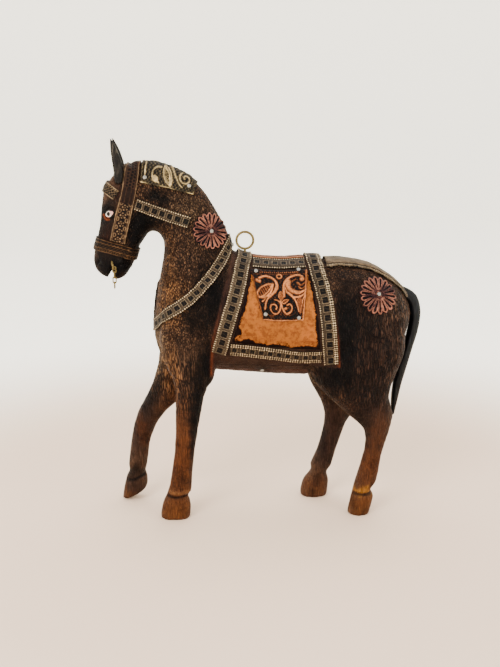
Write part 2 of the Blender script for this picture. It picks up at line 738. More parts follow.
# Tones painted on the carving: x z, reach along and up, turn, tone, amount
TONES = [
    (88, 140, 30, 60, 0, "umber", 0.85),
    (112, 120, 14, 60, 0, "umber", 0.4),
    (-60, 178, 14, 22, 0, "wood_gold", 0.75),
    (-72, 134, 9, 26, 0, "wood_tan", 0.9),
    (-60, 118, 7, 26, 0, "wood_gold", 0.75),
    (-56, 52, 18, 54, 0, "wood_leg", 0.9),
    (-38, 96, 8, 30, 0.05, "patina", 0.97),
    (-41, 66, 6, 42, 0.0, "patina", 0.88),
    (-30, 128, 10, 22, 0, "patina", 0.97),
    (-88, 70, 20, 40, 0, "umber", 0.9),
    (-78, 90, 6, 24, -0.5, "patina", 0.6),
    (-84, 60, 5, 40, 0.35, "wood_leg", 0.35),
    (-96, 26, 14, 6, 0, "patina", 0.85),
    (-57, 8, 16, 12, 0, "hoof", 0.95),
    (-93, 10, 14, 12, 0, "umber", 0.8),
    (-100, 6, 7, 5, 0, "hoof", 0.5),
    (-24, 180, 14, 34, 0.25, "patina", 0.98),
    (-40, 168, 12, 18, 0.6, "patina", 0.8),
    (76, 152, 9, 42, 0, "patina", 0.98),
    (66, 118, 14, 16, 0, "patina", 0.95),
    (86, 162, 12, 20, 0, "patina", 0.5),
    (98, 66, 22, 44, 0, "umber", 0.75),
    (106, 56, 9, 30, 0, "wood_leg", 0.4),
    (90, 72, 7, 26, 0, "patina", 0.6),
    (94, 38, 14, 20, 0, "wood_leg", 0.7),
    (70, 56, 16, 42, 0, "umber", 0.9),
    (62, 62, 6, 34, 0.1, "patina", 0.5),
    (93, 9, 14, 12, 0, "hoof", 0.95),
    (60, 9, 16, 12, 0, "wood_leg", 0.6),
    (94, 21, 9, 3.4, 0, "ochre", 0.75),
    (-84, 230, 10, 18, 0, "patina", 0.98),
    (-74, 240, 17, 8, 0.1, "patina", 0.97),
    (-66, 256, 11, 6, -0.25, "patina", 0.97),
    (-45, 248, 12, 10, -0.5, "wood_light", 0.2),
    (-62, 214, 6, 18, 0, "wood_gold", 0.3),
    (-107, 230, 13, 24, 0, "umber", 0.9),
    (-106, 226, 12, 26, 0, "patina", 0.6),
    (-104, 222, 6, 10, 0, "wood_red", 0.12),
    (-112, 206, 9, 12, 0, "patina", 0.9),
    (-95, 258, 9, 13, 0, "umber", 0.9),
    (-106, 243, 7.5, 6, 0.2, "patina", 0.8),
    (-101, 226, 8, 9, 0, "patina", 0.6),
    (-104, 200, 15, 10, 0, "patina", 0.99),
    (-96, 206, 11, 11, 0, "patina", 0.99),
    (-119, 207, 2.4, 9, 0, "umber", 0.7),
    (-106, 248, 8, 6, 0.3, "patina", 0.9),
]


def ragged(x, z, size):
    """Places stirred a little, so that painted borders come out uneven."""
    along = np.sin(z * 0.61 + 1.3) + 0.6 * np.sin(z * 1.37 + x * 0.4) + 0.5 * np.sin(x * 0.83)
    up = np.sin(x * 0.57 + 0.4) + 0.6 * np.sin(x * 1.21 - z * 0.5) + 0.5 * np.sin(z * 0.91)
    return x + size * along, z + size * up


def vectors(items, key):
    """The vectors that a mesh's items keep under a key, one row each."""
    rows = np.zeros(len(items) * 3)
    items.foreach_get(key, rows)
    return rows.reshape(-1, 3)


def grid_coordinates(mesh):
    return (vectors(mesh.vertices, "co") - np.array(GRID_SHIFT)) / MM


def ramp(value, nought, full):
    return np.clip((value - nought) / (full - nought), 0, 1)


def oval(x, z, cx, cz, wide, tall, turn):
    """The squared distance from the middle of a turned oval, 1 on its outline."""
    along = (x - cx) * math.cos(turn) + (z - cz) * math.sin(turn)
    up = (z - cz) * math.cos(turn) - (x - cx) * math.sin(turn)
    return (along / wide) ** 2 + (up / tall) ** 2


def lay_colour(tone, colour, share):
    """Mixes a colour into the tones, by a share at each point."""
    tone[:, :3] += share[:, None] * (np.array(tuple(colour)) - tone[:, :3])


def long_strokes(x, z):
    """Where the gouge strokes run long: on the hindquarters and on the legs."""
    return ramp(x, 40, 60), ramp(z, 150, 130)


# The painted saddle cloth: the height of its hem, and the girth under it
HEM = 126
GIRTH_LOW, GIRTH_REAR = 112, 48
GIRTH_STAIN = (12, 119, 9, 9, 0)
# Heights between which the cloth's rim is red
RED_LOW, RED_HIGH = 117, 176


def painted_cloth(x, z):
    """How much of each point is saddle cloth, and how much is its red rim."""
    front, rear = (
        np.interp(z, [p[1] for p in edge], [p[0] for p in edge])
        for edge in (SADDLE_FRONT_EDGE, SADDLE_REAR_EDGE)
    )
    cloth = (z > GIRTH_LOW) * ramp(x - front, -1, 0.5) * ramp(rear - x, -1, 0.5)
    cloth = cloth * (ramp(z, HEM + 1, HEM - 1) * (x < GIRTH_REAR) + (z >= HEM))
    rim = np.exp(-((np.minimum(x - front, rear - x) / 1.6) ** 2)) + (z < 122) * (x < 70) * 0.25
    rim = rim * cloth * np.clip((RED_HIGH - z) / 40, 0.1, 1) * ramp(z, RED_LOW, RED_LOW + 4)
    return cloth, np.clip(0.55 * rim, 0, 1)


def paint_carving(mesh):
    """Gives each point of the carving its tone, how much fur it bears and how long."""
    c = bpy.context.scene.horse_colours
    x, y, z = grid_coordinates(mesh).T
    tone = np.ones((len(x), 4))
    tone[:, :3] = tuple(c.wood)
    px, pz = ragged(x, z, 1.1)
    for *place, name, amount in TONES:
        lay_colour(tone, getattr(c, name), amount * np.exp(-(oval(px, pz, *place) ** 1.7)))
    cloth, red = painted_cloth(x, z)
    lay_colour(tone, c.umber, 0.85 * cloth)
    lay_colour(tone, c.wood_red, red)
    lay_colour(tone, c.patina, 0.7 * np.exp(-oval(px, pz, *GIRTH_STAIN)))
    normals = vectors(mesh.vertex_normals, "vector")
    for points, width, _, name, amount, side in LINES:
        share = amount * stroke(x, z, points, width * 1.3) * on_side(normals, side)
        lay_colour(tone, getattr(c, name), share)
    lay_colour(tone, c.patina, on_chest_ridge(x, y * 0.6, z))
    smooth = np.clip((100 - z) / 30, 0, 0.75) + 0.8 * (z > 190) * (x < -95)
    behind, low = long_strokes(x, z)
    stretch = np.maximum(behind * ramp(z, 195, 180), low)
    for name, kind, key, values in (
        ("tone", "FLOAT_COLOR", "color", tone.ravel()),
        ("fur", "FLOAT", "value", np.clip(1 - cloth - smooth, 0, 1)),
        ("stretch", "FLOAT", "value", stretch),
    ):
        mesh.attributes.new(name, kind, "POINT").data.foreach_set(key, values)


# Carved features on both sides: x z, reach along and up, turn, height in millimetres
FEATURES = [
    (-104.3, 243.7, 7.0, 6.0, 0.3, -1.3),
    (-103.5, 250.5, 8.0, 2.2, 0.3, 0.9),
    (-104.0, 237.5, 7.0, 1.6, 0.2, 0.5),
    (-114.0, 206.5, 2.4, 1.5, 0.8, -1.6),
    (-111.0, 208.5, 3.0, 1.4, 0.8, 0.6),
    (-98.0, 204.0, 5.0, 0.9, 0.5, -0.9),
    (-81.5, 236.0, 3.0, 12.0, -0.1, 0.7),
    (-76.0, 240.0, 2.4, 12.0, 0.25, -0.8),
    (-34.0, 176.0, 3.0, 26.0, 0.5, -0.7),
    (-46.0, 158.0, 12.0, 16.0, 0.3, 0.7),
    (-31.0, 128.0, 3.0, 12.0, 0.2, -0.8),
    (58.0, 120.0, 4.0, 18.0, -0.6, -0.7),
    (92.0, 128.0, 16.0, 30.0, 0.2, 0.6),
    (106.0, 84.0, 4.0, 8.0, 0.2, -0.6),
]

# Carved lines: points x z, width, height in millimetres, tone, amount, side
LINES = [
    ([(49, 111), (70, 93), (91, 72)], 2.0, 0.8, "wood_light", 0.5, "left"),
    ([(-109.5, 194.5), (-105.3, 199), (-102.9, 204)], 1.1, -1.2, "patina", 0.95, "both"),
    ([(-84, 230), (-88, 219), (-95, 208), (-101, 202)], 1.6, 0.7, "patina", 0.5, "both"),
    ([(-112, 248), (-114, 236), (-117, 222)], 1.4, 0.4, "wood_light", 0.25, "both"),
    ([(-108.8, 242.6), (-107.2, 239.8), (-104.8, 239.4)], 0.8, 0.2, "wood_red", 0.9, "both"),
    ([(-71, 66), (-66, 40), (-64, 24)], 1.2, -0.5, "patina", 0.5, "left"),
    ([(-68, 24.5), (-57, 22.5), (-46, 23.5)], 1.3, 0.9, "wood_gold", 0.4, "left"),
    ([(-68, 20.5), (-57, 19), (-46, 20)], 1.1, -0.8, "patina", 0.9, "left"),
    ([(-106, 17), (-94, 19), (-84, 23)], 1.3, -0.8, "patina", 0.9, "both"),
    ([(82, 19), (94, 18), (106, 20)], 1.2, -0.8, "patina", 0.8, "left"),
    ([(48, 18), (60, 17.5), (72, 19)], 1.2, -0.8, "patina", 0.8, "right"),
    ([(-28, 112), (-14, 110), (4, 112)], 1.4, -0.5, "patina", 0.8, "both"),
]
CHEST_RIDGE = [(-68.0, 192.0), (-71.9, 175.6), (-73.8, 158.0)]


def on_chest_ridge(x, y, z):
    """How far each point is on the dark ridge down the middle of the chest."""
    high, low = CHEST_RIDGE[0][1], CHEST_RIDGE[-1][1]
    return np.exp(-((y / 1.9) ** 2)) * (ramp(z, high, high - 4) * ramp(z, low, low + 4)) * (x < -55)


def gouges(x, y, z):
    """Grooves between the gouge strokes in millimetres: round cells on the neck and long
    ones on the flanks and legs. 1 is the bottom of a groove."""
    wide = 2.3
    tall = 4.6 + 7.0 * np.maximum(*long_strokes(x, z))
    made = np.zeros_like(x)
    for k in range(len(x)):
        spot = Vector((x[k] / wide, y[k] / wide, z[k] / tall[k]))
        near, _ = noise.voronoi(spot, distance_metric="DISTANCE", exponent=2.5)
        made[k] = near[1] - near[0]
    return np.clip(1 - made / 0.3, 0, 1)


def on_side(normals, side):
    """How much each point faces the side that a carved line is on."""
    across = {"left": -normals[:, 1], "right": normals[:, 1]}.get(side, np.abs(normals[:, 1]))
    return np.clip((across - 0.15) / 0.4, 0, 1)


# How far the rump is raised over the solid, in millimetres
CROUP_RISE = 1.5
BUTTOCK_RISE = 2.2


def rump_rise(x, z, normals):
    """The fuller croup behind the saddle and the fuller buttocks."""
    croup = np.clip(normals[:, 2] / 0.5, 0, 1) * ramp(x, 62, 72) * ramp(x, 124, 112) * (z > 170)
    buttock = np.clip(normals[:, 0] / 0.6, 0, 1) * (x > 96) * ramp(z, 112, 134) * ramp(z, 196, 180)
    return CROUP_RISE * croup + BUTTOCK_RISE * buttock


def carve_features(mesh):
    """Moves the surface in and out where the face and the muscles are cut."""
    x, y, z = grid_coordinates(mesh).T
    normals = vectors(mesh.vertex_normals, "vector")
    rise = sum(height * np.exp(-oval(x, z, *place)) for *place, height in FEATURES)
    rise *= on_side(normals, "both")
    for points, width, height, _, _, side in LINES:
        rise += height * stroke(x, z, points, width) * on_side(normals, side)
    rise += 1.7 * on_chest_ridge(x, y, z) + rump_rise(x, z, normals)
    facets = np.sin(x * 0.52 + 0.8 * np.sin(z * 0.31)) * np.sin(z * 0.43 + np.sin(x * 0.27 + y))
    rise += 0.1 * facets * (z > 60)
    rise -= 0.3 * gouges(x, y, z) * np.clip((z - 40) / 30, 0.3, 1)
    places = vectors(mesh.vertices, "co") + normals * (rise * MM)[:, None]
    mesh.vertices.foreach_set("co", places.ravel())
    mesh.update()


def refine_head(mesh):
    """Halves the mesh spacing over the face, which has the finest carving."""
    bm = bmesh.new()
    bm.from_mesh(mesh)
    rear, _, low = at(-93, 0, 188)
    edges = [e for e in bm.edges if all(v.co.x < rear and low < v.co.z for v in e.verts)]
    bmesh.ops.subdivide_edges(bm, edges=edges, cuts=1, use_grid_fill=True, smooth=0.5)
    bm.to_mesh(mesh)
    bm.free()
    mesh.shade_smooth()


def smooth_copy(name, node, finish, cell, passes, fuller=0.0):
    """A finer, smoother surface of a solid, made fuller by a length if asked."""
    bm = bmesh.new()
    bm.from_mesh(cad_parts[node].data)
    bmesh.ops.remove_doubles(bm, verts=bm.verts, dist=1e-6)
    obj = finished(name, bm, finish)
    fine = obj.modifiers.new("Fine surface", "REMESH")
    fine.mode = "VOXEL"
    fine.voxel_size = cell
    soft = obj.modifiers.new("Run smooth", "SMOOTH")
    soft.factor = 0.5
    soft.iterations = passes
    if fuller:
        swell = obj.modifiers.new("Fuller", "DISPLACE")
        swell.strength = fuller
        swell.mid_level = 0.0
    graph = bpy.context.evaluated_depsgraph_get()
    graph.update()
    obj.data = bpy.data.meshes.new_from_object(obj.evaluated_get(graph))
    obj.modifiers.clear()
    obj.data.materials.clear()
    obj.data.materials.append(finish)
    obj.data.shade_smooth()
    return obj


class HORSE_OT_carving(Operator):
    """The carved body: the solid's surface run smooth, with carved features"""

    bl_idname = "horse.carving"
    bl_label = "Carving"

    def execute(self, context):
        cell = context.scene.horse_sizes.carving_cell
        obj = smooth_copy("carved_horse", "horse_body", carved_wood(), cell, 8)
        refine_head(obj.data)
        carve_features(obj.data)
        paint_carving(obj.data)
        Carving.read(obj.data)
        dress(obj, "dark_wood", "horse_body")
        return {"FINISHED"}


def strap_relief(s, t, w, pitch=6.9, beads_at=(-0.44, -0.34, 0.34, 0.44), lines_at=(0.26,),
                 half=2.2):
    """Beaded edges, thin lines inside them and a row of framed, sunk squares."""
    step = bpy.context.scene.horse_sizes.bead_pitch / MM
    height = np.full_like(s, 0.2)
    for share in beads_at:
        off = np.abs(s - share * w)
        height = np.where((off < 1.05) & (height < 0.25), 0.04, height)
        height = np.maximum(height, 0.62 * beads(s, t, share * w, step, 0.74))
    for share in lines_at:
        height = np.maximum(height, 0.34 * ridge(np.abs(s) - share * w, 0.42))
    along = in_step(t, pitch)
    reach = np.maximum(np.abs(s), np.abs(along))
    height = np.maximum(height, 0.37 * ridge(reach - half - 0.35, 0.45))
    sunk = np.clip((half - reach) / 0.35, 0, 1)
    bar = ridge(along - 0.4 * s, 0.45) * sunk
    return height * (1 - sunk) + sunk * 0.2 * bar


def flowers(s, t, w, pitch=6.2):
    """Round flowers in rings down a strap, with bright raised edges."""
    along = in_step(t, pitch)
    far = np.hypot(s, along)
    edges = np.maximum(
        0.62 * ridge(np.abs(s) - 0.44 * w, 0.5), 0.4 * ridge(np.abs(s) - 0.36 * w, 0.35)
    )
    petal = ridge(far - 1.8, 0.95) * (0.5 + 0.5 * np.cos(5 * np.arctan2(along, s))) ** 0.5
    curls = ridge(np.hypot(np.abs(s) - 3.2, np.abs(along) - 2.6) - 0.9, 0.5)
    return np.maximum.reduce([
        np.where(far < 3.1, 0.02, np.maximum(edges, 0.2)),
        0.6 * petal, 0.62 * ridge(far, 0.7), 0.5 * curls,
    ])


def lattice(s, t, w, pitch=2.6, lines=(0.44,)):
    """Crossed ridges between raised lines."""
    crossed = [0.42 * ridge(in_step(t + slope * s, pitch), 0.5) for slope in (-1, 1)]
    height = np.maximum.reduce([np.full_like(s, 0.12), *crossed])
    height = np.where(np.abs(s) > 0.34 * w, 0.1, height)
    for share in lines:
        height = np.maximum(height, 0.6 * ridge(np.abs(s) - share * w, 0.55))
    step = bpy.context.scene.horse_sizes.bead_pitch / MM
    return np.maximum(height, 0.5 * beads(s, t, -0.33 * w, step, 0.6))


def crown_and_cheeks(s, t, w):
    """The headstall: dimpled over the poll, plain below it and flowers on the cheeks."""
    down = np.abs(t - t.max() / 2)
    edge = np.maximum(
        0.48 * ridge(np.abs(s) - 0.44 * w, 0.5), 0.3 * ridge(np.abs(s) - 0.35 * w, 0.35)
    )
    dimples = 0.28 - 0.3 * beads(s, t, 0, 2.4, 0.9)
    for middle in (2.3, -2.3):
        dimples = dimples - 0.3 * beads(s, t + 1.2, middle, 2.4, 0.8)
    plain = 0.16 + 0.12 * ridge(np.abs(s) - 1.8, 0.6)
    near = np.where(down < 24, dimples, plain)
    near = np.where(down > 36, flowers(s, down - 36, w), near)
    return np.maximum(edge, near)


def lay_strap(name, node, points, width, finish, closed=False, relief=strap_relief, lift=0.0,
              **pattern):
    """An embossed strap, its width a length or a function of the share along it. Over the
    back it stands off the wood by the lift."""
    wide = width if callable(width) else lambda v: width
    grid, s, t, w = strap_grid(points, wide, closed)
    crest = lift * np.clip(1 - ((t - t.max() / 2) / 13) ** 2, 0, 1)
    emboss(name, node, finish, "aged_brass", grid, relief(s, t, w, **pattern), crest, closed)


class HORSE_OT_head_trim(Operator):
    """Headstall, browband, noseband and rein strips"""

    bl_idname = "horse.head_trim"
    bl_label = "Head trim"

    def execute(self, context):
        sizes = context.scene.horse_sizes
        c = context.scene.horse_colours
        brown = once("headstall_metal", metal, srgb(6, 4, 4), srgb(66, 42, 30), c.headstall)
        dark = once("noseband_metal", metal, srgb(6, 4, 4), srgb(34, 22, 15),
                    srgb(146, 106, 72, 0.45), wear=0.8)
        olive = once("browband_metal", metal, srgb(8, 6, 5), srgb(66, 50, 36),
                     srgb(184, 152, 114, 0.6), blotches=0.6)

        def width(v):
            return sizes.crown + (sizes.headstall - sizes.crown) * min(1, abs(v - 0.5) * 3)

        lay_strap("headstall_sheet", "headstall", mirrored(HEADSTALL), width, brown,
                  relief=crown_and_cheeks)
        lay_strap("browband_sheet", "browband", mirrored(BROWBAND), sizes.browband, olive,
                  relief=lattice)
        lay_strap("noseband_sheet", "noseband", mirrored(NOSEBAND), sizes.noseband, dark,
                  closed=True, relief=lattice, lines=(0.45, 0.2))
        for side, turn in sides():
            lay_strap(f"rein_sheet_{side}", f"rein_strip_{side}", turn(REIN), sizes.rein,
                      brass_finish(), half=2.0, pitch=6.2, beads_at=(-0.42, 0.42), lines_at=())
        return {"FINISHED"}


# How far an eye stands out and how deep its middle is set, in metres
EYE_DEPTH, EYE_SINK = 0.0019, 0.0002


class HORSE_OT_eyes(Operator):
    """The painted eyes"""

    bl_idname = "horse.eyes"
    bl_label = "Eyes"

    def execute(self, context):
        sizes = context.scene.horse_sizes
        finish = once("eye_paint", eye_paint)
        for side, turn in sides():
            sign = 1 if side == "left" else -1
            centre, front, back = (at(*point) for point in turn(EYE))
            spot, up = Carving.nearest(centre)
            along = back - front
            along = sign * (along - up * along.dot(up)).normalized()
            across = up.cross(along)
            bm = bmesh.new()
            bmesh.ops.create_uvsphere(bm, u_segments=72, v_segments=48, radius=1.0)
            paint = bm.verts.layers.float_color.new("paint")
            for vert in bm.verts:
                x, y, z = vert.co
                vert[paint] = (*eye_colour(-sign * x, y), 1)
                vert.co = spot + (
                    along * x * sizes.eye_length / 2
                    + across * y * sizes.eye_height / 2
                    + up * (z * EYE_DEPTH - EYE_SINK)
                )
            dress(finished(f"eye_{side}", bm, finish), "dark_wood")
        return {"FINISHED"}


def eye_colour(along, up):
    """The eye's paint at shares of its half length, toward the nose, and half height."""
    lid = 1 - abs(along) ** 1.8
    if math.hypot((along - 0.08) * 1.25, up - 0.02) < 0.46:
        return srgb(3, 3, 4)
    if up > 0.56 * lid or up < -0.62 * lid or abs(along) > 0.84:
        return srgb(176, 64, 28) if along > 0.3 and up < -0.1 else srgb(6, 4, 5)
    if along < -0.3:
        return srgb(226, 166, 152, 0.75)
    return srgb(236, 220, 208, 0.8)


def eye_paint(name):
    """Paint in the colours kept on the eye, a little worn."""
    made, w, shader = new_material(name)
    worn = w.noise(w.object_place(), 900.0, 4.0, 0.7)
    paint = w.attribute("paint", "Color")
    stained = w.mix(w.times(w.span(worn, 0.5, 0.68), 0.35), paint, srgb(60, 34, 24))
    w.feed(shader.inputs["Base Color"], stained)
    w.feed(shader.inputs["Roughness"], w.blend(worn, 0.35, 0.6))
    w.feed(shader.inputs["Specular IOR Level"], 0.12)
    return made


# The spans of the mane plate's relief: along the neck, and over the mane edge to edge
MANE_PLATE_WIDE, MANE_PLATE_TALL = 43.0, 33.0


class HORSE_OT_mane_plate(Operator):
    """The embossed plate over the mane"""

    bl_idname = "horse.mane_plate"
    bl_label = "Mane plate"

    def execute(self, context):
        gold = once("mane_plate_brass", metal, srgb(8, 7, 8), srgb(92, 78, 56),
                    context.scene.horse_colours.gold, blotches=0.6)
        columns = [list(points) for points in zip(*[mirrored(row) for row in MANE_PLATE])]
        grid, u, v = patch_grid(columns)
        x = u * MANE_PLATE_WIDE
        y = (1 - np.abs(v - 0.5) * 2) * MANE_PLATE_TALL / 2
        emboss("mane_plate_sheet", "mane_plate", gold, "aged_brass", grid,
               mane_plate_relief(x, y), full=1.0, bite=1.25,
               bright=0.94 + 0.12 * np.sin(x * 0.5) * np.cos(y * 0.7))
        return {"FINISHED"}


# Strokes of the mane plate: height, points, width and the share it runs to at its end
MANE_STROKES = [
    (0.35, [(0, 2.0), (MANE_PLATE_WIDE, 2.0)], 0.35),
    (0.6, [(0.6, 1.5), (0.8, 15)], 0.6),
    (0.85, [(3.2, 5), (3.0, 16)], 0.9),
    (0.8, [(14.6, 11.8), (11.0, 11.2), (8.6, 8.4), (8.8, 5.0)], 1.1, 0.75),
    (1.1, [(10.8, 4.2), (11.8, 3.8)], 2.4),
    (0.9, [(13.4, 2.6), (14.0, 2.2)], 1.0),
    (0.5, [(12.8, 9.4), (15.4, 6.4), (19.8, 2.0)], 0.6),
    (1.0, [(17.0, 12.4), (21.4, 8.4), (23.6, 1.6)], 0.6),
    (0.8, [(21.8, 14.4), (25.4, 9.6), (29.6, 5.0), (33.0, 2.8)], 1.2, 0.7),
    (0.6, [(24.6, 15.6), (28.6, 12.8), (29.4, 9.6)], 1.0, 0.6),
    (0.85, spiral(33.8, 9.8, 2.4, 1.3, 4.9), 1.0, 0.8),
    (0.6, [(30, 15.8), (35.6, 15.8), (39.0, 12.4), (39.2, 8)], 0.9, 0.7),
    (0.5, [(36, 5.4), (39.5, 4.4)], 0.9),
    (0.45, [(41.0, 2), (41.0, 16)], 0.45),
]


def mane_plate_relief(x, y):
    """A leaf between a berried curl and a scroll. y runs from the lower edge up."""
    stipple = 0.5 + 0.5 * np.cos(x * 5.2) * np.cos(y * 5.2 + x)
    pitted = (np.hypot((x - 20.2 + (y - 8) * 0.5) / 1.8, (y - 8.0) / 4.0) < 1) * (stipple > 0.5)
    lower_edge = stroke(x, y, [(0, 0.5), (MANE_PLATE_WIDE, 0.5)], 0.7)
    rear_edge = stroke(x, y, [(42.6, 0.8), (42.6, 16)], 0.6)
    return np.maximum.reduce([
        0.38 + 0.27 * np.cos(x * 2.3 + np.sin(y * 1.9)) * np.cos(y * 2.1),
        strokes(x, y, MANE_STROKES),
        0.85 * lower_edge * (0.75 + 0.25 * np.cos(x * 0.3)),
        0.9 * leaf(x, y, (16.2, 14.2), (24.4, 0.8), 3.7) * (1 - 0.55 * pitted),
        0.7 * rear_edge * (0.6 + 0.4 * np.sin(y * 0.8)),
        0.9 * ridge(y - 16.2, 0.7) * (0.5 + 0.5 * np.sin(x * 0.9 + 2 * np.sin(x * 0.37))),
    ])


class HORSE_OT_collar(Operator):
    """The breast collar"""

    bl_idname = "horse.collar"
    bl_label = "Breast collar"

    def execute(self, context):
        lay_strap("collar_sheet", "breast_collar", mirrored(COLLAR),
                  context.scene.horse_sizes.collar, brass_finish(), closed=True, half=1.8,
                  pitch=6.4, beads_at=(-0.43, 0.43), lines_at=(0.3,))
        return {"FINISHED"}


# How far the saddle bands stand off over the seat, and the crupper's middle, in metres
SEAT_LIFT, CRUPPER_LIFT = 0.0014, 0.0009


class HORSE_OT_saddle_bands(Operator):
    """The embossed borders of the saddle cloth"""

    bl_idname = "horse.saddle_bands"
    bl_label = "Saddle bands"

    def execute(self, context):
        sizes = context.scene.horse_sizes
        brass = brass_finish()
        for end, points, beads_at, lines_at in (
            ("front", SADDLE_BAND_FRONT, (-0.44, 0.44), (0.29, 0.36)),
            ("rear", SADDLE_BAND_REAR, (-0.44, -0.31, 0.44), (0.31,)),
        ):
            lay_strap(f"saddle_band_{end}_sheet", f"saddle_band_{end}", mirrored(points),
                      sizes.saddle_band, brass, lift=SEAT_LIFT, beads_at=beads_at,
                      lines_at=lines_at)
        for side, turn in sides():
            lay_strap(f"saddle_lower_sheet_{side}", f"saddle_band_lower_{side}",
                      turn(SADDLE_BAND_LOWER), sizes.lower_band, brass, half=1.7,
                      beads_at=(-0.43, -0.28, 0.28, 0.43), lines_at=())
            lay_strap(f"saddle_upper_sheet_{side}", f"saddle_band_upper_{side}",
                      turn(SADDLE_BAND_UPPER), sizes.upper_band, brass, half=1.8,
                      beads_at=(-0.42, 0.42), lines_at=(0.3,))
        return {"FINISHED"}


# Dark stains on the saddle panels: place across and down, reach across and down, depth
PANEL_STAINS = [
    (0.07, 0.86, 0.05, 0.05, 3.6),
    (0.17, 0.95, 0.07, 0.04, 3.2),
    (0.5, 0.99, 0.06, 0.03, 2.4),
    (0.86, 0.98, 0.09, 0.03, 2.2),
    (0.97, 0.7, 0.02, 0.08, 1.4),
    (0.03, 0.55, 0.02, 0.09, 1.4),
]

# The saddle panels' mean spans in millimetres, and the spacing of their mesh in metres
PANEL_WIDE, PANEL_TALL = 54.0, 58.0
PANEL_CELL = 0.0009


class HORSE_OT_saddle_panels(Operator):
    """The copper sheets on the saddle cloth's sides"""

    bl_idname = "horse.saddle_panels"
    bl_label = "Saddle panels"

    def execute(self, context):
        c = context.scene.horse_colours
        copper = once("panel_copper", metal, srgb(70, 28, 14), c.copper_deep, c.copper,
                      blotches=0.45, scale=75.0, relief=0.68, edge=(srgb(22, 10, 8), 1.5),
                      wear=0.3)
        for side, turn in sides():
            grid, u, v = patch_grid([turn(row) for row in SADDLE_PANEL], PANEL_CELL)
            inside = np.minimum(
                np.minimum(u, 1 - u) * PANEL_WIDE, np.minimum(v, 1 - v) * PANEL_TALL
            )
            hollows = np.sin(u * 9 + 2 * v) * np.sin(v * 7 + 1.3)
            stained = sum(deep * np.exp(-oval(u, v, *place, 0)) for *place, deep in PANEL_STAINS)
            height = 0.12 * np.clip(inside / 2.5, 0, 1) + 0.1 * hollows
            emboss(f"saddle_panel_sheet_{side}", f"saddle_panel_{side}", copper, "copper", grid,
                   height, marks={"edge": inside - stained})
        return {"FINISHED"}


# The saddle plate's border: height, points, width
PLATE_BORDER = [
    (0.8, [(2, 98.5), (98, 98.5)], 1.9),
    (0.3, [(2, 93), (98, 93)], 1.0),
    (0.75, [(98, 2), (98, 98)], 2.2),
    (0.55, [(1.5, 14), (1.5, 98)], 1.4),
    (0.4, [(4, 8.6), (96, 8.6)], 0.8),
]

# Strokes of the saddle plate: height, points, width and the share it runs to at its end.
# All of them are moved up a little from these points.
PLATE_STROKES = [
    (1, [(38, 46), (42.5, 38), (42.5, 29), (38, 22), (31, 17.6), (21.5, 16), (12, 20)], 3.6, 0.8),
    (1, [(5, 57.4), (17, 57), (27, 51), (33, 42), (36, 32)], 2.6, 0.8),
    (1, [(42, 36), (37, 47), (24, 58), (17, 67), (12, 80)], 2.9, 0.6),
    (1, [(10, 66), (17, 60)], 1.8, 0.6),
    (1, [(56, 55), (55.6, 42), (57, 32), (62.5, 22), (73, 15.4), (83.5, 14.6), (91, 18)], 3.4, 0.7),
    (1, [(90, 22.6), (91, 23.4)], 5.2),
    (0.92, [(64, 27), (65, 38), (74, 46.4), (87, 49.6), (95, 46)], 7.6, 0.35),
    (1, [(58, 38), (64, 50), (76, 57), (90, 56), (97, 51)], 2.2, 0.8),
    (0.8, [(82, 30), (89, 34.6), (96, 30)], 2.0, 0.7),
    (0.8, [(84, 37), (90, 41.6), (97, 38)], 1.8, 0.7),
    (0.7, [(73, 26), (79, 23)], 1.8, 0.6),
    (1, [(61, 47), (72, 55), (81, 68), (87, 84)], 3.2, 0.5),
    (0.9, [(98, 52), (93, 66), (91, 86)], 1.8, 0.6),
    (1, [(47.4, 65), (48.6, 66)], 3.0),
    (1, [(46.5, 66), (41, 62), (35, 62)], 2.2, 0.6),
    (1, [(47.4, 67), (46.5, 76), (42.5, 84), (35, 88), (27, 86.4), (24, 79), (27, 72), (34, 70.4),
         (38.5, 75), (36, 80)], 2.1, 0.8),
    (1, [(48.8, 67), (50.5, 77), (56, 86), (63.5, 88), (70.5, 82), (71, 74), (66, 70),
         (61, 71.5)], 2.4, 0.9),
    (1, [(56.4, 79), (59.2, 78)], 2.8),
    (0.6, [(14, 88), (22, 93), (34, 91)], 1.4, 0.7),
    (0.6, [(66, 91), (76, 89), (80, 84)], 1.4, 0.7),
    (0.5, [(36, 68), (32, 66), (28, 68)], 1.4, 0.7),
]
SCROLLS_UP = 2.7


def saddle_plate_relief(x, y):
    """A hatched leaf and a crescent over two curls. x and y run from 0 to 100, y down."""
    border = strokes(x, y, PLATE_BORDER)
    beading = 0.75 * beads(y, x, 4.6, 3.6, 1.5) * (x > 18) * (x < 84)
    y = y + SCROLLS_UP
    ground = 0.2 + 0.17 * np.cos(x * 0.83 + np.sin(y * 0.6)) * np.cos(y * 0.77)
    bud_hole = np.clip(1 - np.hypot(x - 10, y - 24) / 2.2, 0, 1)
    scrolls = np.maximum.reduce([
        strokes(x, y, PLATE_STROKES),
        ridge(np.hypot(x - 49, (y - 15.6) * 1.05) - 4.6, 2.0) ** 0.6,
        stroke(x, y, [(8.6, 25), (11, 26.4)], 5.0) * (1 - 0.6 * bud_hole),
        hatched_leaf(x, y, (3, 55), (34, 31), 8.4),
        0.75 * leaf(x, y, (86, 54), (91, 90), 7.0),
        leaf(x, y, (49.5, 45), (49.5, 64), 5.6),
        hatched_leaf(x, y, (51, 67.5), (65, 61), 3.6, 1.6),
    ])
    return np.maximum.reduce([ground, border, beading, 0.85 * scrolls])


